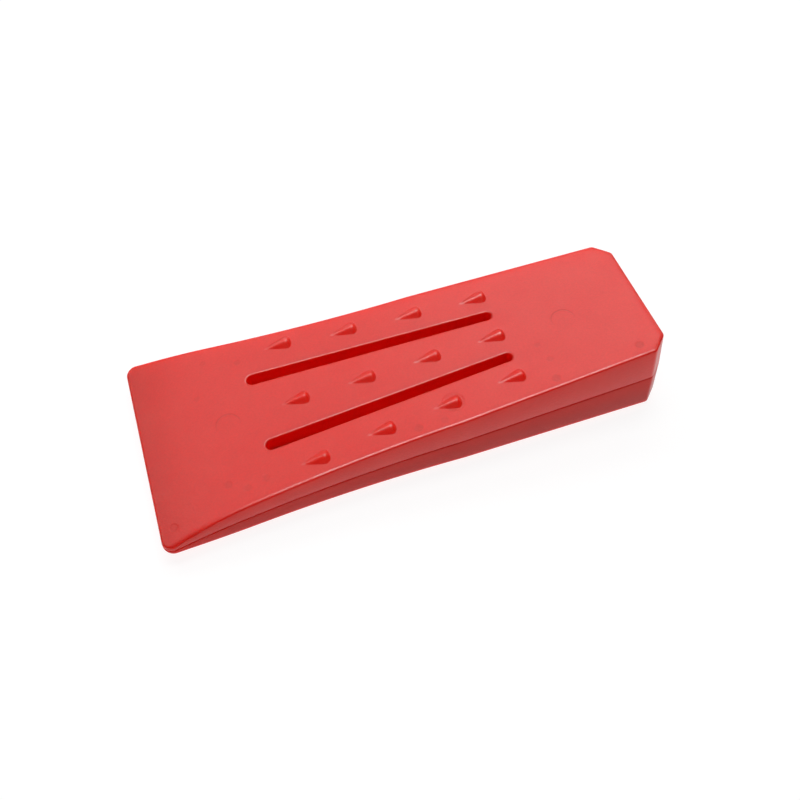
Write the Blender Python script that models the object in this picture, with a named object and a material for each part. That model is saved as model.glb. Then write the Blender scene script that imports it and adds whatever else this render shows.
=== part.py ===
"""Plastic felling wedge, about 140 x 63 x 23 mm over the faces, with gripping
barbs on both working faces and two blind grooves in each.

The wedge is drawn in its own axes first: x runs from the thin tip (x = 0) to
the struck end (x = LENGTH), y runs across, and z = 0 is the seam plane halfway
through the thickness.  Each half is one solid.  The lower half is the upper
half mirrored in the seam plane.  The pair is then tilted by half the wedge
angle, so that the lower working face is level, and it stands on the apexes of
its lower barbs: world +X points to the struck end, world +Z is up, and the
origin is at the middle of the footprint on the ground.
"""
import math

import bmesh
import bpy
from mathutils import Matrix, Vector

MM = 0.001

# ---- driving dimensions, millimetres -------------------------------------
LENGTH = 140.0            # tip to struck end, along the seam plane
SEAM_GAP = 0.30           # clearance between the two halves at the seam
DRAFT = math.radians(1.3)  # side walls lean in from the seam to each face

# half thickness of the body at the tip, before the tip bevel, and its growth
HALF_THICK_TIP = 3.427
HALF_ANGLE = math.atan(0.05635)
# tip bevel: half thickness of the lip, bevel slope, and blend length
LIP_HALF = 1.11
BEVEL_SLOPE = 0.213
BEVEL_BLEND = 8.5
NOSE_RADIUS = 0.80

# plan outline, half widths at the arris of the working face
KNEE_X = 81.0             # where the flare meets the straight rear part
KNEE_HALF_WIDTH = 23.73
KNEE_SLOPE = 0.015
FLARE_RADIUS = 546.0      # concave flare between FLARE_TIP_X and the knee
FLARE_TIP_X = 22.0
TIP_FLARE_RADIUS = 256.0  # tighter concave flare next to the tip
REAR_TAPER = 0.0515       # narrowing of each side per mm behind the knee
TIP_CORNER_RADIUS = 2.8
CHAMFER_X = 4.1           # corner chamfers at the struck end
CHAMFER_Y = 4.4
ARRIS_RADIUS = 0.50       # small radius along all outer edges

# barbs: three rows of four on each working face
BARB_FIRST_X = 44.9       # apex of the first column
BARB_PITCH = 18.37
BARB_COLUMNS = 4
BARB_ROW_Y = (20.46, 18.16, 16.63, 15.0)   # outer rows, column by column
BARB_HEIGHT = 1.20
BARB_TAIL = 6.60          # tail point to apex
BARB_HALF_WIDTH = 2.05
BARB_HEAD = 1.10          # apex to the front of the round head
BARB_ROOT = 0.35          # depth that a barb reaches into the face
BARB_SEGMENTS = 10

# grooves: two on each working face, fanning out towards the tip
GROOVE_X = (31.24, 100.30)
GROOVE_Y = (11.40, 7.89)
GROOVE_HALF_WIDTH = (1.63, 1.41)
GROOVE_FLOOR = 1.25       # material left above the seam plane
GROOVE_DRAFT = math.radians(1.0)
GROOVE_SEGMENTS = 8

RED = (0.62, 0.045, 0.035, 1.0)


# ---- profiles ------------------------------------------------------------
def face_height(x):
    """Half thickness: body taper, blended into the tip bevel, rounded nose."""
    body = HALF_THICK_TIP + math.tan(HALF_ANGLE) * x
    bevel = LIP_HALF + BEVEL_SLOPE * x
    slope = math.tan(HALF_ANGLE)
    meet = (HALF_THICK_TIP - LIP_HALF) / (BEVEL_SLOPE - slope)
    start, stop = meet - BEVEL_BLEND, meet + BEVEL_BLEND
    if x <= start:
        h = bevel
    elif x >= stop:
        h = body
    else:
        # circular blend between the two slopes, as a parabola
        u = x - start
        h = (LIP_HALF + BEVEL_SLOPE * start + BEVEL_SLOPE * u
             - (BEVEL_SLOPE - slope) * u * u / (4.0 * BEVEL_BLEND))
    return h - edge_round(x, NOSE_RADIUS) - edge_round(LENGTH - x, ARRIS_RADIUS)


def edge_round(distance, radius):
    """How far a quarter-round of this radius pulls in, at a distance from the end."""
    if distance >= radius:
        return 0.0
    return radius - math.sqrt(max(radius * radius - (radius - distance) ** 2, 0.0))


def half_width(x):
    """Half width at the arris of the working face."""
    if x >= KNEE_X:
        w = KNEE_HALF_WIDTH - REAR_TAPER * (x - KNEE_X)
    else:
        run = KNEE_X - max(x, FLARE_TIP_X)
        w = KNEE_HALF_WIDTH + KNEE_SLOPE * run + run * run / (2.0 * FLARE_RADIUS)
        if x < FLARE_TIP_X:
            more = FLARE_TIP_X - x
            w += (KNEE_SLOPE + run / FLARE_RADIUS) * more
            w += more * more / (2.0 * TIP_FLARE_RADIUS)
    w -= edge_round(x, TIP_CORNER_RADIUS)
    if x > LENGTH - CHAMFER_X:
        w -= CHAMFER_Y * (x - (LENGTH - CHAMFER_X)) / CHAMFER_X
    return w - edge_round(LENGTH - x, ARRIS_RADIUS)


def stations():
    xs = []
    for i in range(5):                                   # round nose
        xs.append(NOSE_RADIUS * (1.0 - math.cos(math.pi / 2 * i / 4)))
    for i in range(1, 8):                                # plan corner
        x = TIP_CORNER_RADIUS * (1.0 - math.cos(math.pi / 2 * i / 7))
        if x > NOSE_RADIUS + 0.05:
            xs.append(x)
    x = 5.0
    while x < KNEE_X - 2.0:                              # bevel blend and flare
        xs.append(x)
        x += 2.5 if x < 25.0 else 5.0
    xs.append(KNEE_X)
    xs.append(LENGTH - CHAMFER_X)
    for i in range(4):                                   # struck edge
        xs.append(LENGTH - ARRIS_RADIUS * (1.0 - math.sin(math.pi / 2 * i / 3)))
    return xs


def section(x):
    """Half section (y >= 0) from the seam edge to the edge of the face."""
    g = SEAM_GAP / 2.0
    h = face_height(x)
    w = half_width(x)
    seam_w = w + math.tan(DRAFT) * (h - g)
    r = min(ARRIS_RADIUS, 0.6 * (h - g))
    points = [(seam_w, g)]
    for i in range(4):
        a = math.pi / 2 * i / 3
        points.append((w - r + r * math.cos(a), h - r + r * math.sin(a)))
    return points


# ---- solids --------------------------------------------------------------
def new_object(name, bm):
    mesh = bpy.data.meshes.new(name)
    bm.normal_update()
    bm.to_mesh(mesh)
    bm.free()
    obj = bpy.data.objects.new(name, mesh)
    bpy.context.scene.collection.objects.link(obj)
    return obj


def oriented(bm, side):
    """Mirror to the lower side if asked, then point every face outwards."""
    if side < 0:
        bmesh.ops.scale(bm, vec=(1.0, 1.0, -1.0), verts=bm.verts)
    bmesh.ops.recalc_face_normals(bm, faces=bm.faces)


def half_body(name, side):
    bm = bmesh.new()
    rings = []
    for x in stations():
        half = section(x)
        loop = [(y, z) for y, z in half] + [(-y, z) for y, z in reversed(half)]
        rings.append([bm.verts.new(Vector((x, y, z)) * MM) for y, z in loop])
    count = len(rings[0])
    for a, b in zip(rings, rings[1:]):
        for i in range(count):
            j = (i + 1) % count
            bm.faces.new((a[i], a[j], b[j], b[i]))
    bm.faces.new(rings[0])
    bm.faces.new(list(reversed(rings[-1])))
    oriented(bm, side)
    return new_object(name, bm)


def barb_outline():
    """Teardrop around the apex: round head in front, point at the tail."""
    centre = -0.35
    front = BARB_HEAD - centre
    # tangent from the tail point to the ellipse (front, BARB_HALF_WIDTH)
    tail = BARB_TAIL + centre
    touch = math.acos(-front / tail)
    points = [(-BARB_TAIL, 0.0)]
    for i in range(BARB_SEGMENTS + 1):
        a = -touch + 2.0 * touch * i / BARB_SEGMENTS
        points.append((centre + front * math.cos(a), BARB_HALF_WIDTH * math.sin(a)))
    return points


def barbs(name, side):
    bm = bmesh.new()
    outline = barb_outline()
    grow = (BARB_HEIGHT + BARB_ROOT) / BARB_HEIGHT
    lean = Matrix.Rotation(-HALF_ANGLE, 4, 'Y')
    for column in range(BARB_COLUMNS):
        x = BARB_FIRST_X + BARB_PITCH * column
        for y in (-BARB_ROW_Y[column], 0.0, BARB_ROW_Y[column]):
            place = Matrix.Translation(Vector((x, y, face_height(x)))) @ lean
            apex = bm.verts.new((place @ Vector((0, 0, BARB_HEIGHT))) * MM)
            base = [bm.verts.new((place @ Vector((px * grow, py * grow, -BARB_ROOT))) * MM)
                    for px, py in outline]
            for a, b in zip(base, base[1:] + base[:1]):
                bm.faces.new((a, b, apex))
            bm.faces.new(list(reversed(base)))
    oriented(bm, side)
    return cutter(new_object(name, bm))


def grooves(name, side):
    bm = bmesh.new()
    x0, x1 = GROOVE_X
    r0, r1 = GROOVE_HALF_WIDTH
    for hand in (1, -1):
        a = Vector((x0 + r0, hand * GROOVE_Y[0]))
        b = Vector((x1 - r1, hand * GROOVE_Y[1]))
        along = (b - a).normalized()
        across = Vector((-along.y, along.x))
        rings = []
        for z in (GROOVE_FLOOR, face_height(x1) + 1.0):
            ring = []
            for centre, radius, turn in ((b, r1, 0.0), (a, r0, math.pi)):
                depth = face_height(centre.x) - z
                r = radius - math.tan(GROOVE_DRAFT) * depth
                for i in range(GROOVE_SEGMENTS + 1):
                    t = turn - math.pi / 2 + math.pi * i / GROOVE_SEGMENTS
                    p = centre + (along * math.cos(t) + across * math.sin(t)) * r
                    ring.append(bm.verts.new(Vector((p.x, p.y, z)) * MM))
            rings.append(ring)
        low, high = rings
        for i in range(len(low)):
            j = (i + 1) % len(low)
            bm.faces.new((low[i], low[j], high[j], high[i]))
        bm.faces.new(list(reversed(low)))
        bm.faces.new(high)
    oriented(bm, side)
    return cutter(new_object(name, bm))


def cutter(obj):
    obj.hide_render = True
    obj.display_type = 'WIRE'
    return obj


def boolean(target, tool, operation):
    mod = target.modifiers.new(tool.name, 'BOOLEAN')
    mod.operation = operation
    mod.object = tool
    mod.solver = 'EXACT'


def plastic(name):
    mat = bpy.data.materials.new(name)
    mat.use_nodes = True
    shader = mat.node_tree.nodes['Principled BSDF']
    shader.inputs['Base Color'].default_value = RED
    shader.inputs['Roughness'].default_value = 0.42
    shader.inputs['Metallic'].default_value = 0.0
    mat.diffuse_color = RED
    return mat


def main():
    for obj in list(bpy.data.objects):
        bpy.data.objects.remove(obj, do_unlink=True)

    # level the lower working face and stand the wedge on its lower barbs
    tilt = HALF_ANGLE
    lower_tip = HALF_THICK_TIP * math.cos(tilt)
    rear = LENGTH * math.cos(tilt) + (face_height(LENGTH) * math.sin(tilt))
    frame = bpy.data.objects.new('wedge_frame', None)
    bpy.context.scene.collection.objects.link(frame)
    frame.location = Vector((-rear / 2.0, 0.0, lower_tip + BARB_HEIGHT)) * MM
    frame.rotation_euler = (0.0, -tilt, 0.0)

    for name, side in (('upper_half', 1), ('lower_half', -1)):
        body = half_body(name, side)
        pimples = barbs(name + '_barbs', side)
        slots = grooves(name + '_grooves', side)
        for obj in (body, pimples, slots):
            obj.parent = frame
        boolean(body, pimples, 'UNION')
        boolean(body, slots, 'DIFFERENCE')
        body.data.materials.append(plastic(name + '_plastic'))
        body.data.shade_smooth()
        body.data.set_sharp_from_angle(angle=math.radians(25))


main()
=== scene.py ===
"""Looks for the felling wedge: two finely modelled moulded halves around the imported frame.

All shape work is in millimetres in the wedge's own axes (x from the tip to the
struck end, y across, z away from the seam plane), then placed in the frame.
"""
import math

import bmesh
import bpy
import numpy as np
from mathutils import Matrix, Vector
from mathutils.geometry import delaunay_2d_cdt


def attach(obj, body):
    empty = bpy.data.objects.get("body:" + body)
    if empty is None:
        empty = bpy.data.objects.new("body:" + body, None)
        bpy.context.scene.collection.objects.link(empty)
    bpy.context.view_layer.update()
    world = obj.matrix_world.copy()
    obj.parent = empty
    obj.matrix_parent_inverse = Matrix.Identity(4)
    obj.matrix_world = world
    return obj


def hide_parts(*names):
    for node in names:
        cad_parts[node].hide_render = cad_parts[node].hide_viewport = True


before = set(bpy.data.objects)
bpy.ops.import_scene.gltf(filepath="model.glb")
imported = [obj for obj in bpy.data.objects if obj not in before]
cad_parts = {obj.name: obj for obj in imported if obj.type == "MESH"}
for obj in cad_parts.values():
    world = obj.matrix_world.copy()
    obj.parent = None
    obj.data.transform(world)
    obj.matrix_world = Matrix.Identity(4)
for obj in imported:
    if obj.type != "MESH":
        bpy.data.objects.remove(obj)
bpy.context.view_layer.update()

# ---- dimensions, the same as the CAD ---------------------------------------
MM = 0.001
LENGTH = 140.0
SEAM = 0.10                      # half of the seam line, drawn finer than the CAD's clearance
DRAFT = math.tan(math.radians(1.3))
H_TIP, H_SLOPE = 3.427, 0.05635
LIP, BEVEL, BLEND = 1.11, 0.213, 8.5
KNEE_X, KNEE_W, KNEE_S = 81.0, 23.73, 0.015
FLARE_R, FLARE_X, TIP_FLARE_R = 546.0, 22.0, 256.0
REAR = 0.0515
CORNER_R = 2.8
ROLL = (2.8, 0.11)               # reach and drop of the rolled struck edge
END_CORNER_R = 1.7
CHAMFER = (4.1, 4.4)
ARRIS_R, NOSE_R = 0.50, 0.80
# outer edges and groove lips roll over: up to this angle from level, this radius
EDGE = ((6.0, 6.5), (20.0, 2.0), (90.0, 0.45))
LIP_EDGE = ((6.0, 2.4), (22.0, 1.2), (90.0, 0.28))
EDGE_STEPS = (0.0, 3.0, 6.0, 9.5, 13.0, 16.5, 20.0, 29.0, 42.0, 58.0, 74.0, 90.0)
BARB_X = [44.9 + 18.37 * i for i in range(4)]
BARB_Y = (20.46, 18.16, 16.63, 15.0)
BARB_H, BARB_TAIL, BARB_W, BARB_HEAD, BARB_C = 1.19, 6.60, 2.05, 1.10, -0.35
GROOVE_X = (31.24, 100.30)
GROOVE_Y = (11.40, 7.89)
GROOVE_W = (1.63, 1.41)
GROOVE_FLOOR = 1.25
TILT = math.atan(H_SLOPE)
REST = 1.20                      # the wedge stands on barbs this high


def to_frame():
    """Wedge axes in mm to the frame in metres, level on its lower barbs."""
    rear = LENGTH * math.cos(TILT) + (H_TIP + H_SLOPE * LENGTH - ARRIS_R) * math.sin(TILT)
    lift = Matrix.Translation(Vector((-rear / 2.0, 0.0, H_TIP * math.cos(TILT) + REST)) * MM)
    return lift @ Matrix.Rotation(-TILT, 4, 'Y') @ Matrix.Scale(MM, 4)


# ---- outline and face ------------------------------------------------------
def face(x):
    """Half thickness at x, with the face rolled down a little at the struck edge."""
    roll = max(0.0, (x - (LENGTH - ROLL[0])) / ROLL[0])
    return straight_face(x) - ROLL[1] * roll * roll


def straight_face(x):
    body = H_TIP + H_SLOPE * x
    bevel = LIP + BEVEL * x
    meet = (H_TIP - LIP) / (BEVEL - H_SLOPE)
    if x <= meet - BLEND:
        return bevel
    if x >= meet + BLEND:
        return body
    u = x - (meet - BLEND)
    return bevel - (BEVEL - H_SLOPE) * u * u / (4.0 * BLEND)


def face_slope(x):
    return (face(x + 0.01) - face(x - 0.01)) / 0.02


def width(x):
    if x >= KNEE_X:
        return KNEE_W - REAR * (x - KNEE_X)
    run = KNEE_X - max(x, FLARE_X)
    w = KNEE_W + KNEE_S * run + run * run / (2.0 * FLARE_R)
    if x < FLARE_X:
        more = FLARE_X - x
        w += (KNEE_S + run / FLARE_R) * more + more * more / (2.0 * TIP_FLARE_R)
    return w


def roll_in(parts, start, stop, nose=0.0):
    """Level run and drop of a rolled edge between two angles in radians."""
    run = drop = lo = 0.0
    for limit, radius in parts:
        hi = math.radians(limit)
        a, b = max(lo, start), min(hi, stop)
        if b > a:
            r = radius * (1.0 - nose) + NOSE_R * nose
            run += r * (math.sin(b) - math.sin(a))
            drop += r * (math.cos(a) - math.cos(b))
        lo = hi
    return run, drop


def rounded(p0, p1, p2, r, n):
    """Arc of radius r that rounds the corner p1 of the polyline p0 p1 p2."""
    a, b = (p0 - p1).normalized(), (p2 - p1).normalized()
    half = a.angle(b) / 2.0
    reach = r / math.tan(half)
    centre = p1 + (a + b).normalized() * (r / math.sin(half))
    s, e = p1 + a * reach - centre, p1 + b * reach - centre
    turn = math.atan2(s.x * e.y - s.y * e.x, s.dot(e))
    out = []
    for i in range(n + 1):
        t = turn * i / n
        out.append(centre + Vector((s.x * math.cos(t) - s.y * math.sin(t),
                                    s.x * math.sin(t) + s.y * math.cos(t))))
    return out


def outline():
    """Closed arris outline, seen from above, from the middle of the tip edge round."""
    m = (width(2.0) - width(5.0)) / 3.0
    cos_a = 1.0 / math.sqrt(1.0 + m * m)
    xt = CORNER_R * (1.0 + m * cos_a)
    at_tip = width(xt) + m * xt
    yc = at_tip - m * CORNER_R - CORNER_R / cos_a
    half = []
    n = 24
    half += [Vector((0.0, yc * i / n)) for i in range(n)]
    top = math.pi / 2 - math.atan(m)
    n = 16
    for i in range(n + 1):
        a = math.pi + (top - math.pi) * i / n
        half.append(Vector((CORNER_R + CORNER_R * math.cos(a), yc + CORNER_R * math.sin(a))))
    end_x = LENGTH - CHAMFER[0]
    x = xt + 0.8
    while x < end_x - 1.2:
        half.append(Vector((x, width(x))))
        x += 1.25 if x < 30.0 or abs(x - KNEE_X) > 3.0 else 0.75
    a = Vector((end_x, width(end_x)))
    b = Vector((LENGTH, width(end_x) - CHAMFER[1]))
    half += rounded(half[-1], a, b, END_CORNER_R, 8)
    for i in range(1, 4):
        half.append(a.lerp(b, 0.1 + 0.8 * i / 4.0))
    half += rounded(a, b, Vector((LENGTH, 0.0)), END_CORNER_R, 8)
    n = 12
    start = half[-1].y
    half += [Vector((LENGTH, start * (1.0 - i / n))) for i in range(1, n + 1)]
    near = [Vector((p.x, -p.y)) for p in reversed(half[1:-1])]
    return half + near


def outward(points):
    """Mitred outward normals of a closed loop, whatever way round it runs."""
    n = len(points)
    area = sum(points[i].x * points[(i + 1) % n].y - points[(i + 1) % n].x * points[i].y
               for i in range(n))
    side = 1.0 if area > 0 else -1.0
    out = []
    for i in range(n):
        a = (points[i] - points[i - 1]).normalized()
        b = (points[(i + 1) % n] - points[i]).normalized()
        na, nb = Vector((a.y, -a.x)) * side, Vector((b.y, -b.x)) * side
        v = (na + nb).normalized()
        out.append(v / max(v.dot(na), 0.5))
    return out


# ---- barbs -----------------------------------------------------------------
_front = BARB_HEAD - BARB_C
_tail = BARB_TAIL + BARB_C
_touch = math.acos(-_front / _tail)
_tp = Vector((BARB_C + _front * math.cos(_touch), BARB_W * math.sin(_touch)))
_dir = (_tp - Vector((-BARB_TAIL, 0.0))).normalized()
_nrm = Vector((-_dir.y, _dir.x))
_dist = _nrm.dot(_tp)
_turn = math.atan2(_tp.y, _tp.x)
RIDGE = 0.42          # softness of the ridge, mm
APEX = 0.15           # softness of the apex, as a share of the barb
FOOT = 0.035          # softness of the foot, mm


def gauge(u, v):
    """0 at the apex, 1 on the teardrop's edge."""
    v = math.sqrt(v * v + RIDGE * RIDGE) - RIDGE * 0.5
    if abs(math.atan2(v, u)) > _turn:
        return max((_nrm.x * u + _nrm.y * v) / _dist, 0.0)
    a2, b2 = _front * _front, BARB_W * BARB_W
    k = u * u / a2 + v * v / b2
    if k < 1e-12:
        return 0.0
    h = u * BARB_C / a2
    q = (h + math.sqrt(h * h + k * (1.0 - BARB_C * BARB_C / a2))) / k
    return 1.0 / q


def barb(u, v):
    if not (-9.0 < u < 3.0 and -4.0 < v < 4.0):
        return 0.0
    g = gauge(u, v)
    s = BARB_H * (1.0 - (math.sqrt(g * g + APEX * APEX) - APEX * APEX * 0.5)) / (1.0 - APEX * 0.95)
    z = 0.5 * (s + math.sqrt(s * s + FOOT * FOOT))
    return z if s > -0.6 else 0.0


def barb_reach(t):
    """Distance from the apex to the teardrop's edge in direction t."""
    if abs(t) > _turn:
        c = _nrm.x * math.cos(t) + _nrm.y * abs(math.sin(t))
        return _dist / c
    a2, b2 = _front * _front, BARB_W * BARB_W
    c, s = math.cos(t), math.sin(t)
    k = c * c / a2 + s * s / b2
    h = c * BARB_C / a2
    return (h + math.sqrt(h * h + k * (1.0 - BARB_C * BARB_C / a2))) / k


# ---- marks left by the mould -------------------------------------------------
RINGS = ((23.5, -0.7), (117.6, -1.2))
RING_R = 3.2


def ring_part(d, dy):
    """How much of the ring shows: it is cut in more on one side."""
    return min(max(0.45 + 0.85 * dy / max(d, 0.01), 0.08), 1.0)


def ring(d):
    """Shallow step and groove round an ejector pin."""
    g = math.exp(-((d - RING_R) / 0.16) ** 2)
    return -0.07 * g


# faint round marks of shorter pins and trapped gas: x, y, radius, depth
SPOTS = ((132.5, -17.4, 1.15, 0.05), (108.1, -19.35, 1.12, 0.055), (109.0, -12.8, 0.9, 0.03),
         (107.7, -7.0, 0.8, 0.03), (69.7, -20.9, 1.15, 0.05), (76.7, -21.0, 1.0, 0.035),
         (30.2, 18.8, 0.9, 0.03), (17.3, 10.9, 0.8, 0.03), (21.2, 22.2, 0.8, 0.03),
         (19.4, -19.3, 1.1, 0.04), (24.0, -22.1, 1.0, 0.035), (29.0, -21.0, 1.1, 0.04),
         (3.8, -25.4, 1.1, 0.03))
PAD = (80.6, -16.4, 2.9, 0.08)      # pin pad that overlaps one barb


def spot(d, radius, depth):
    """Flat-bottomed shallow dimple with a soft lip."""
    return -1.6 * depth / (1.0 + math.exp((d - radius) / 0.07))


def surface(x, y):
    z = face(x)
    for cx, cy, radius, depth in SPOTS + (PAD,):
        d = math.hypot(x - cx, y - cy)
        if d < radius + 1.0:
            z += spot(d, radius, depth)
    for i, bx in enumerate(BARB_X):
        if abs(x - bx) < 9.5:
            for by in (-BARB_Y[i], 0.0, BARB_Y[i]):
                z += barb(x - bx, y - by)
    for cx, cy in RINGS:
        d = math.hypot(x - cx, y - cy)
        if d < 4.2:
            z += ring(d) * ring_part(d, y - cy)
    return z


# ---- grooves -----------------------------------------------------------------
def groove_outline(hand):
    x0, x1 = GROOVE_X
    r0, r1 = GROOVE_W
    a = Vector((x0 + r0, hand * GROOVE_Y[0]))
    b = Vector((x1 - r1, hand * GROOVE_Y[1]))
    along = (b - a).normalized()
    across = Vector((-along.y, along.x))
    pts = []
    n = 14
    for i in range(n + 1):
        t = -math.pi / 2 + math.pi * i / n
        pts.append(b + (along * math.cos(t) + across * math.sin(t)) * r1)
    m = 46
    for i in range(1, m):
        pts.append((b + across * r1).lerp(a + across * r0, i / m))
    for i in range(n + 1):
        t = math.pi / 2 + math.pi * i / n
        pts.append(a + (along * math.cos(t) + across * math.sin(t)) * r0)
    for i in range(1, m):
        pts.append((a - across * r0).lerp(b - across * r1, i / m))
    return pts


# ---- painted highlights along edges, groove lips and barb ridges ---------------
def smooth(x, lo, hi):
    t = min(max((x - lo) / (hi - lo), 0.0), 1.0)
    return t * t * (3.0 - 2.0 * t)


# pale painted highlight on the part of a rolled edge tilted 5 to 26 degrees from level
def highlight_band_at(angle):
    a = math.degrees(angle)
    return smooth(a, 5.0, 12.0) * (1.0 - smooth(a, 16.0, 26.0))


def dull_marks(x, y):
    most = 0.0
    for cx, cy, radius, depth in SPOTS + (PAD,):
        d = math.hypot(x - cx, y - cy)
        if d < radius + 1.0:
            share = 0.35 if radius > 2.0 else min(depth / 0.07, 0.7)
            most = max(most, share / (1.0 + math.exp((d - radius) / 0.09)))
    for cx, cy in RINGS:
        d = math.hypot(x - cx, y - cy)
        most = max(most, 0.80 * ring_part(d, y - cy) * math.exp(-((d - RING_R) / 0.2) ** 2))
    return most


# painted highlight along the barb ridges, on the tail and at the apex
def barb_highlights(x, y):
    most = 0.0
    for i, bx in enumerate(BARB_X):
        if abs(x - bx) > 9.5:
            continue
        for by in (-BARB_Y[i], 0.0, BARB_Y[i]):
            u, v = x - bx, y - by + 0.10
            if -7.6 < u < 1.2 and abs(v) < 1.2:
                inside_tail = smooth(u, -6.60, -6.35)
                along = inside_tail * (1.0 - smooth(u, -0.3, 0.3))
                ridge = along * math.exp(-(v / 0.19) ** 2) * (0.45 + 0.18 * i)
                tail = inside_tail * math.exp(-((u + 6.2) ** 2 + v * v) / 0.20) * (0.4 + 0.2 * i)
                apex = math.exp(-((u + 0.3) ** 2 + v * v) / 0.16)
                most = max(most, ridge, tail, apex)
    return most


# ---- one half ----------------------------------------------------------------
def inside(px, py, loop):
    """Even-odd test of many points against one closed loop."""
    q = np.array([(p.x, p.y) for p in loop])
    r = np.roll(q, -1, axis=0)
    hit = np.zeros(len(px), bool)
    for (ax, ay), (bx, by) in zip(q, r):
        if ay == by:
            continue
        cross = (ay > py) != (by > py)
        hit ^= cross & (px < (bx - ax) * (py - ay) / (by - ay) + ax)
    return hit


def near_loop(px, py, loop, gap):
    q = np.array([(p.x, p.y) for p in loop])
    close = np.zeros(len(px), bool)
    for a, b in zip(q, np.roll(q, -1, axis=0)):
        d = b - a
        t = np.clip(((px - a[0]) * d[0] + (py - a[1]) * d[1]) / max(d @ d, 1e-9), 0, 1)
        close |= np.hypot(px - a[0] - t * d[0], py - a[1] - t * d[1]) < gap
    return close


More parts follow.
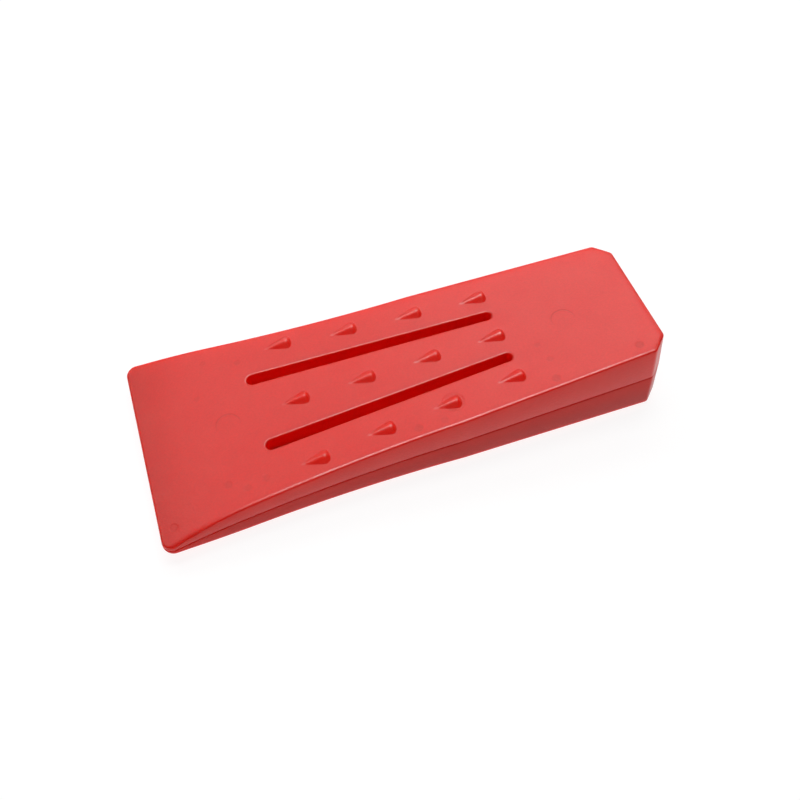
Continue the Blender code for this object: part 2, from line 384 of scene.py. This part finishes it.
def build_half():
    # per vertex: painted highlight, painted shade with darker marks, and the lower edge's extra painted shade
    verts, faces, highlight_and_shade = [], [], []

    def add(x, y, z, painted_highlight=0.0, painted_shade_and_marks=0.0, edge=0.0):
        verts.append((x, y, z))
        highlight_and_shade.append((painted_highlight, painted_shade_and_marks, edge))
        return len(verts) - 1

    def band(a, b):
        n = len(a)
        for i in range(n):
            j = (i + 1) % n
            faces.append((a[i], a[j], b[j], b[i]))

    edge = outline()
    norm = outward(edge)

    # side: rolled arris, drafted wall, softened seam edge
    loops2d = []
    rows = []
    for k in range(-1, len(EDGE_STEPS)):
        row = []
        flat = []
        for p, n in zip(edge, norm):
            nose = max(0.0, -n.x) ** 2
            lean = max(math.atan(-face_slope(min(max(p.x, 0.5), LENGTH)) * n.x), 0.0)
            top = p - n * roll_in(EDGE, lean, math.pi / 2, nose)[0]
            if k < 0:
                q = top - n * 0.10
                z = surface(max(q.x, 0.0), q.y)
            else:
                a = lean + (math.pi / 2 - lean) * EDGE_STEPS[k] / 90.0
                q = p - n * roll_in(EDGE, a, math.pi / 2, nose)[0]
                z = face(max(top.x, 0.0)) - roll_in(EDGE, lean, a, nose)[1]
            flat.append(q.copy())
            painted_highlight = 0.0
            if k >= 0:
                # painted highlight, full on edges facing -y and weaker elsewhere
                side = 1.0 if n.y < -0.3 and n.x < 0.2 else 0.3
                painted_highlight = side * highlight_band_at(a) * smooth(p.x, 14.0, 42.0) * (1.0 - nose)
            # the walls get painted shade
            steep = smooth(k, 7.0, 10.0)
            row.append(add(q.x, q.y, z, painted_highlight, steep, smooth(k, 5.0, 8.0)))
        rows.append(row)
        if k == -1:
            loops2d.append(flat)
    low = []
    soft = 0.20
    for depth, pull in ((None, 0.0), (soft, 0.0), (soft * 0.45, 0.04), (0.0, 0.14)):
        row = []
        for i, (p, n) in enumerate(zip(edge, norm)):
            zc = verts[rows[-1][i]][2]
            if depth is None:
                z = zc - 0.12 * (zc - SEAM - soft)
            else:
                z = SEAM + depth
            q = p + n * (DRAFT * (zc - z) - pull)
            # painted shade on the softened seam edge
            row.append(add(q.x, q.y, z, 0.0, 1.0, 1.0 if depth is None else 0.0))
        low.append(row)
    chain = rows + low
    for a, b in zip(chain, chain[1:]):
        band(a, b)
        if a is rows[-4]:
            wall_from = len(faces)
    faces.append(tuple(chain[-1]))
    wall_to = len(faces)

    # grooves: rounded edge, wall, rounded floor
    holes = []
    for hand in (1, -1):
        loop = groove_outline(hand)
        n2 = outward(loop)
        r, fall = roll_in(LIP_EDGE, 0.0, math.pi / 2)
        chain = []
        hole = [p + n * (r + 0.10) for p, n in zip(loop, n2)]
        holes.append(hole)
        chain.append([add(q.x, q.y, surface(q.x, q.y)) for q in hole])
        for step in EDGE_STEPS:
            a = math.radians(step)
            row = []
            for p, n in zip(loop, n2):
                q = p + n * roll_in(LIP_EDGE, a, math.pi / 2)[0]
                # painted highlight on the groove lips, strongest where they face -y
                painted_highlight = highlight_band_at(a) * min(max(0.75 * n.y - 0.45 * n.x + 0.05, 0.0), 1.0)
                row.append(add(q.x, q.y, face(q.x) - roll_in(LIP_EDGE, 0.0, a)[1], painted_highlight))
            chain.append(row)
        floor_r = 0.45
        for k in range(0, 6):
            a = math.pi / 2 * k / 5
            row = []
            for p, n in zip(loop, n2):
                deep = face(p.x) - fall - GROOVE_FLOOR - floor_r
                q = p - n * (0.0175 * deep + floor_r * (1.0 - math.cos(a)))
                row.append(add(q.x, q.y, GROOVE_FLOOR + floor_r * (1.0 - math.sin(a))))
            chain.append(row)
        for a, b in zip(chain, chain[1:]):
            band(a, b)
        faces.append(tuple(chain[-1]))

    # working face: constrained triangles between the outline and every feature
    pts, cons, guard = [], [], []

    def loop_in(points, closed=True):
        first = len(pts)
        pts.extend(points)
        n = len(points)
        for i in range(n if closed else n - 1):
            cons.append((first + i, first + (i + 1) % n))
        return first

    def mark_in(points):
        """A guide circle, without the part that comes near the rolled edge."""
        px = np.array([p.x for p in points])
        py = np.array([p.y for p in points])
        clear = inside(px, py, loops2d[0]) & ~near_loop(px, py, loops2d[0], 0.15)
        if clear.all():
            loop_in(points)
            return
        ids = []
        for p, ok in zip(points, clear):
            ids.append(len(pts) if ok else None)
            if ok:
                pts.append(p)
        cons.extend((a, b) for a, b in zip(ids, ids[1:] + ids[:1]) if a is not None and b is not None)

    loop_in(loops2d[0])
    for hole in holes:
        loop_in(hole)
    for i, bx in enumerate(BARB_X):
        for by in (-BARB_Y[i], 0.0, BARB_Y[i]):
            at = Vector((bx, by))
            angles = []
            n = 13
            for j in range(-n, n + 1):
                angles.append(_turn * j / n)
            m = 9
            for j in range(1, m + 1):
                s = 1.0 - (1.0 - j / m) ** 1.6
                angles.append(_turn + (math.pi - _turn) * s)
            for j in range(m - 1, 0, -1):
                s = 1.0 - (1.0 - j / m) ** 1.6
                angles.append(-_turn - (math.pi - _turn) * s)
            spokes = []
            for share, extra in ((0.05, 0), (0.11, 0), (0.19, 0), (0.3, 0), (0.45, 0), (0.62, 0),
                                 (0.78, 0), (0.89, 0), (0.96, 0), (1.0, 0.03), (1.0, 0.14),
                                 (1.0, 0.32), (1.0, 0.6)):
                ring_pts = []
                for t in angles:
                    d = barb_reach(t) * share + extra
                    ring_pts.append(at + Vector((math.cos(t), math.sin(t))) * d)
                first = loop_in(ring_pts)
                spokes.append(first + angles.index(math.pi) if math.pi in angles else first + 2 * n + m)
            apex = len(pts)
            pts.append(at.copy())
            chain_ids = [apex] + spokes
            for a, b in zip(chain_ids, chain_ids[1:]):
                cons.append((a, b))
            guard.append((at.x - 2.6, at.y, 5.2, 3.2))
    for cx, cy in RINGS:
        for r in (0.0, 1.5, 2.6, 2.85, 2.97, 3.05, 3.12, 3.2, 3.28, 3.35, 3.43, 3.55, 3.8):
            if r == 0.0:
                pts.append(Vector((cx, cy)))
                continue
            loop_in([Vector((cx + r * math.cos(2 * math.pi * i / 56), cy + r * math.sin(2 * math.pi * i / 56)))
                     for i in range(56)])
        guard.append((cx, cy, 4.1, 4.1))
    for cx, cy, radius, depth in SPOTS + (PAD,):
        for r in (0.0, radius * 0.5, radius - 0.22, radius - 0.11, radius - 0.03, radius + 0.05,
                  radius + 0.13, radius + 0.24, radius + 0.5):
            if r == 0.0:
                pts.append(Vector((cx, cy)))
                continue
            n = 36 if radius < 2.0 else 60
            mark_in([Vector((cx + r * math.cos(2 * math.pi * i / n), cy + r * math.sin(2 * math.pi * i / n)))
                     for i in range(n)])
        guard.append((cx, cy, radius + 0.7, radius + 0.7))
    # filler points, closer where the face curves
    gx, gy = [], []
    x = 1.6
    while x < LENGTH - 1.0:
        step = 1.2 if x < 26.0 else 2.6
        if x > LENGTH - 4.0:
            step = 0.5
        y = -31.0
        while y <= 31.0:
            gx.append(x)
            gy.append(y + (0.5 * step if len(gx) % 2 else 0.0) * 0.2)
            y += 2.3
        x += step
    gx, gy = np.array(gx), np.array(gy)
    keep = inside(gx, gy, loops2d[0]) & ~near_loop(gx, gy, loops2d[0], 0.7)
    for hole in holes:
        keep &= ~inside(gx, gy, hole) & ~near_loop(gx, gy, hole, 0.7)
    for cx, cy, ax, ay in guard:
        keep &= (((gx - cx) / ax) ** 2 + ((gy - cy) / ay) ** 2) > 1.0
    pts.extend(Vector((float(a), float(b))) for a, b in zip(gx[keep], gy[keep]))

    out = delaunay_2d_cdt(pts, cons, [], 0, 1e-5)
    v2, tris = out[0], out[2]
    cx = np.array([sum(v2[i].x for i in t) / 3.0 for t in tris])
    cy = np.array([sum(v2[i].y for i in t) / 3.0 for t in tris])
    use = inside(cx, cy, loops2d[0])
    for hole in holes:
        use &= ~inside(cx, cy, hole)
    base = len(verts)
    for p in v2:
        add(p.x, p.y, surface(p.x, p.y), barb_highlights(p.x, p.y), dull_marks(p.x, p.y))
    for t, ok in zip(tris, use):
        if ok:
            faces.append(tuple(base + i for i in t))
    return verts, faces, highlight_and_shade, (wall_from, wall_to)


def make_piece(name, verts, faces, highlight_and_shade, walls, side, place, materials):
    mesh = bpy.data.meshes.new(name)
    mesh.from_pydata([(x, y, z * side) for x, y, z in verts], [], faces)
    bm = bmesh.new()
    bm.from_mesh(mesh)
    painted_highlight = bm.verts.layers.float.new('painted_highlight')
    painted_shade_and_marks = bm.verts.layers.float.new('painted_shade_and_marks')
    bm.faces.ensure_lookup_table()
    for i in range(*walls):
        bm.faces[i].material_index = 1
    bm.verts.ensure_lookup_table()
    for v, (highlight_share, darkening, edge) in zip(bm.verts, highlight_and_shade):
        v[painted_highlight] = highlight_share
        # painted shade on the lower half's edge and wall, where the wedge lies on the floor
        v[painted_shade_and_marks] = darkening + (1.6 * edge if side < 0 else 0.0)
    bmesh.ops.remove_doubles(bm, verts=bm.verts, dist=1e-4)
    loose = [v for v in bm.verts if not v.link_faces]
    bmesh.ops.delete(bm, geom=loose, context='VERTS')
    bmesh.ops.recalc_face_normals(bm, faces=bm.faces)
    bmesh.ops.transform(bm, matrix=place, verts=bm.verts)
    open_edges = sum(1 for e in bm.edges if len(e.link_faces) != 2)
    print(name, len(bm.verts), 'verts', len(bm.faces), 'faces', open_edges, 'open edges')
    bm.to_mesh(mesh)
    bm.free()
    mesh.shade_smooth()
    mesh.set_sharp_from_angle(angle=math.radians(50))
    for material in materials:
        mesh.materials.append(material)
    obj = bpy.data.objects.new(name, mesh)
    bpy.context.scene.collection.objects.link(obj)
    return obj


# ---- materials -----------------------------------------------------------------
def red_plastic(name, seed, specular):
    """Satin translucent plastic: red, faint flow mottling, fine grain, painted highlights along edges and
    ridges, painted shade on the walls and lower edge.
    """
    mat = bpy.data.materials.new(name)
    mat.use_nodes = True
    nt = mat.node_tree
    nt.nodes.clear()
    new = nt.nodes.new
    out = new('ShaderNodeOutputMaterial')
    bsdf = new('ShaderNodeBsdfPrincipled')
    nt.links.new(bsdf.outputs['BSDF'], out.inputs['Surface'])
    coord = new('ShaderNodeTexCoord')

    def noise(scale, detail, rough, shift):
        m = new('ShaderNodeMapping')
        m.inputs['Location'].default_value = (shift, shift * 0.7 + seed, seed * 0.3)
        nt.links.new(coord.outputs['Object'], m.inputs['Vector'])
        n = new('ShaderNodeTexNoise')
        n.inputs['Scale'].default_value = scale
        n.inputs['Detail'].default_value = detail
        n.inputs['Roughness'].default_value = rough
        nt.links.new(m.outputs['Vector'], n.inputs['Vector'])
        return n

    flow = noise(95.0, 4.0, 0.55, 1.3)
    patch = noise(420.0, 3.0, 0.6, 2.1)
    ramp = new('ShaderNodeValToRGB')
    ramp.color_ramp.elements[0].position = 0.30
    ramp.color_ramp.elements[0].color = (0.91, 0.0200, 0.0100, 1.0)
    ramp.color_ramp.elements[1].position = 0.72
    ramp.color_ramp.elements[1].color = (0.955, 0.0280, 0.0145, 1.0)
    nt.links.new(flow.outputs['Fac'], ramp.inputs['Fac'])
    highlight_share = new('ShaderNodeAttribute')
    highlight_share.attribute_name = 'painted_highlight'
    uneven = new('ShaderNodeMapRange')
    uneven.inputs['From Min'].default_value = 0.3
    uneven.inputs['From Max'].default_value = 0.6
    uneven.inputs['To Min'].default_value = 0.45
    uneven.inputs['To Max'].default_value = 1.0
    nt.links.new(patch.outputs['Fac'], uneven.inputs['Value'])
    highlight_amount = new('ShaderNodeMath')
    highlight_amount.operation = 'MULTIPLY'
    nt.links.new(highlight_share.outputs['Fac'], highlight_amount.inputs[0])
    nt.links.new(uneven.outputs['Result'], highlight_amount.inputs[1])
    highlight_mix = new('ShaderNodeMix')
    highlight_mix.data_type = 'RGBA'
    nt.links.new(highlight_amount.outputs['Value'], highlight_mix.inputs['Factor'])
    nt.links.new(ramp.outputs['Color'], highlight_mix.inputs['A'])
    # colour of the painted highlight
    highlight_mix.inputs['B'].default_value = (0.99, 0.12, 0.095, 1.0)
    # painted shade darkens the walls, the seam edge and the lower half's edge; the pin marks and rings are a
    # darker tone
    darkening = new('ShaderNodeAttribute')
    darkening.attribute_name = 'painted_shade_and_marks'
    tone = new('ShaderNodeMapRange')
    tone.inputs['From Max'].default_value = 3.0
    tone.inputs['To Min'].default_value = 1.0
    tone.inputs['To Max'].default_value = 0.52
    nt.links.new(darkening.outputs['Fac'], tone.inputs['Value'])
    speck = noise(1900.0, 2.0, 0.6, 5.2)
    fleck = new('ShaderNodeMapRange')
    fleck.inputs['From Min'].default_value = 0.3
    fleck.inputs['From Max'].default_value = 0.7
    fleck.inputs['To Min'].default_value = 0.955
    fleck.inputs['To Max'].default_value = 1.035
    nt.links.new(speck.outputs['Fac'], fleck.inputs['Value'])
    toned = new('ShaderNodeMath')
    toned.operation = 'MULTIPLY'
    nt.links.new(tone.outputs['Result'], toned.inputs[0])
    nt.links.new(fleck.outputs['Result'], toned.inputs[1])
    shade = new('ShaderNodeVectorMath')
    shade.operation = 'SCALE'
    nt.links.new(highlight_mix.outputs['Result'], shade.inputs[0])
    nt.links.new(toned.outputs['Value'], shade.inputs['Scale'])
    nt.links.new(shade.outputs['Vector'], bsdf.inputs['Base Color'])
    # the painted highlight mask also adds a glossy coat
    nt.links.new(highlight_amount.outputs['Value'], bsdf.inputs['Coat Weight'])
    bsdf.inputs['Coat Roughness'].default_value = 0.29
    bsdf.inputs['Coat IOR'].default_value = 1.72

    rough = new('ShaderNodeMapRange')
    rough.inputs['From Min'].default_value = 0.3
    rough.inputs['From Max'].default_value = 0.7
    rough.inputs['To Min'].default_value = 0.29
    rough.inputs['To Max'].default_value = 0.36
    nt.links.new(patch.outputs['Fac'], rough.inputs['Value'])
    nt.links.new(rough.outputs['Result'], bsdf.inputs['Roughness'])

    grain = noise(1700.0, 2.0, 0.5, 0.4)
    peel = noise(700.0, 2.0, 0.5, 3.4)
    b1 = new('ShaderNodeBump')
    b1.inputs['Strength'].default_value = 1.0
    b1.inputs['Distance'].default_value = 0.00004
    nt.links.new(grain.outputs['Fac'], b1.inputs['Height'])
    b2 = new('ShaderNodeBump')
    b2.inputs['Strength'].default_value = 0.25
    b2.inputs['Distance'].default_value = 0.00004
    nt.links.new(peel.outputs['Fac'], b2.inputs['Height'])
    nt.links.new(b1.outputs['Normal'], b2.inputs['Normal'])
    nt.links.new(b2.outputs['Normal'], bsdf.inputs['Normal'])

    bsdf.inputs['IOR'].default_value = 1.43
    bsdf.inputs['Specular IOR Level'].default_value = specular
    bsdf.inputs['Subsurface Weight'].default_value = 1.0
    bsdf.inputs['Subsurface Scale'].default_value = 0.0042
    bsdf.inputs['Subsurface Radius'].default_value = (1.0, 0.10, 0.07)
    mat.diffuse_color = (0.75, 0.01, 0.01, 1.0)
    return mat


# ---- build the pieces ------------------------------------------------------------
verts, faces, highlight_and_shade, walls = build_half()
place = to_frame()
for node, side, seed in (('upper_half', 1, 0.0), ('lower_half', -1, 3.7)):
    piece = make_piece(node + '_moulding', verts, faces, highlight_and_shade, walls, side, place,
                       (red_plastic(node + '_face', seed, 0.5), red_plastic(node + '_wall', seed, 0.3)))
    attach(piece, 'root')
    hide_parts(node)


# ---- studio ------------------------------------------------------------------------
def floor():
    bm = bmesh.new()
    bmesh.ops.create_grid(bm, x_segments=2, y_segments=2, size=14.0)
    mesh = bpy.data.meshes.new('studio_floor')
    bm.to_mesh(mesh)
    bm.free()
    obj = bpy.data.objects.new('studio_floor', mesh)
    bpy.context.scene.collection.objects.link(obj)
    mat = bpy.data.materials.new('studio_floor')
    mat.use_nodes = True
    b = mat.node_tree.nodes['Principled BSDF']
    b.inputs['Base Color'].default_value = (0.16, 0.16, 0.16, 1.0)
    b.inputs['Roughness'].default_value = 0.9
    b.inputs['Specular IOR Level'].default_value = 0.1
    b.inputs['Emission Color'].default_value = (1.0, 1.0, 1.0, 1.0)
    b.inputs['Emission Strength'].default_value = 0.90
    # clear from below, so that the wedge's lower face can be looked at through it
    nodes, links = mat.node_tree.nodes, mat.node_tree.links
    under = nodes.new('ShaderNodeNewGeometry')
    clear = nodes.new('ShaderNodeBsdfTransparent')
    mix = nodes.new('ShaderNodeMixShader')
    links.new(under.outputs['Backfacing'], mix.inputs['Fac'])
    links.new(b.outputs['BSDF'], mix.inputs[1])
    links.new(clear.outputs['BSDF'], mix.inputs[2])
    links.new(mix.outputs['Shader'], nodes['Material Output'].inputs['Surface'])
    mesh.materials.append(mat)


def area(name, where, aim, size, power):
    data = bpy.data.lights.new(name, 'AREA')
    data.shape = 'RECTANGLE'
    data.size, data.size_y = size
    data.energy = power
    obj = bpy.data.objects.new(name, data)
    obj.location = where
    obj.rotation_euler = (Vector(aim) - Vector(where)).to_track_quat('-Z', 'Y').to_euler()
    bpy.context.scene.collection.objects.link(obj)
    return obj


floor()
world = bpy.data.worlds.new('studio_sky')
world.use_nodes = True
world.node_tree.nodes['Background'].inputs['Color'].default_value = (1.0, 1.0, 1.0, 1.0)
world.node_tree.nodes['Background'].inputs['Strength'].default_value = 0.08
# pale backdrop where the camera looks past the floor, with no effect on the light
backdrop = world.node_tree.nodes.new('ShaderNodeBackground')
backdrop.inputs['Color'].default_value = (1.0, 1.0, 1.0, 1.0)
backdrop.inputs['Strength'].default_value = 1.0
seen = world.node_tree.nodes.new('ShaderNodeLightPath')
choose = world.node_tree.nodes.new('ShaderNodeMixShader')
world.node_tree.links.new(seen.outputs['Is Camera Ray'], choose.inputs['Fac'])
world.node_tree.links.new(world.node_tree.nodes['Background'].outputs['Background'], choose.inputs[1])
world.node_tree.links.new(backdrop.outputs['Background'], choose.inputs[2])
world.node_tree.links.new(choose.outputs['Shader'], world.node_tree.nodes['World Output'].inputs['Surface'])
bpy.context.scene.world = world
area('softbox', (0.04, 0.17, 1.0), (0.0, 0.0, 0.0), (0.74, 0.28), 4.0)
area('screen_right', (0.332, 0.624, 0.843), (0.0, 0.0, 0.0), (0.57, 0.39), 2.6)
area('low_back', (0.20, 1.15, 0.22), (0.0, 0.0, 0.02), (2.4, 0.42), 2.6)
area('screen_left', (-0.32, 0.69, 0.79), (0.0, 0.0, 0.0), (0.85, 0.46), 2.7)

# camera at the photograph's viewing angle
fit_right = Vector((0.95214683, -0.30562855, 0.00275672))
fit_up = Vector((0.23579491, 0.74026798, 0.62960629))
fit_back = Vector((-0.19446637, -0.59882761, 0.77690947))
rear = LENGTH * math.cos(TILT) + (H_TIP + H_SLOPE * LENGTH - ARRIS_R) * math.sin(TILT)
scale = LENGTH / 201.2
eye = Vector((19.33512358 * scale - rear / 2.0, -255.52245411 * scale, 332.72023598 * scale + REST)) * MM
cam_data = bpy.data.cameras.new('camera')
cam_data.sensor_width = 36.0
cam_data.lens = 1068.2567 / 800.0 * 36.0
cam_data.shift_x = (400.0 - 401.34) / 800.0
cam_data.shift_y = (399.57 - 400.0) / 800.0
cam_data.clip_start = 0.01
cam = bpy.data.objects.new('camera', cam_data)
rot = Matrix((fit_right, fit_up, fit_back)).transposed().to_4x4()
cam.matrix_world = Matrix.Translation(eye) @ rot
bpy.context.scene.collection.objects.link(cam)
bpy.context.scene.camera = cam
bpy.context.scene.view_settings.view_transform = 'Standard'
bpy.context.scene.view_settings.look = 'None'
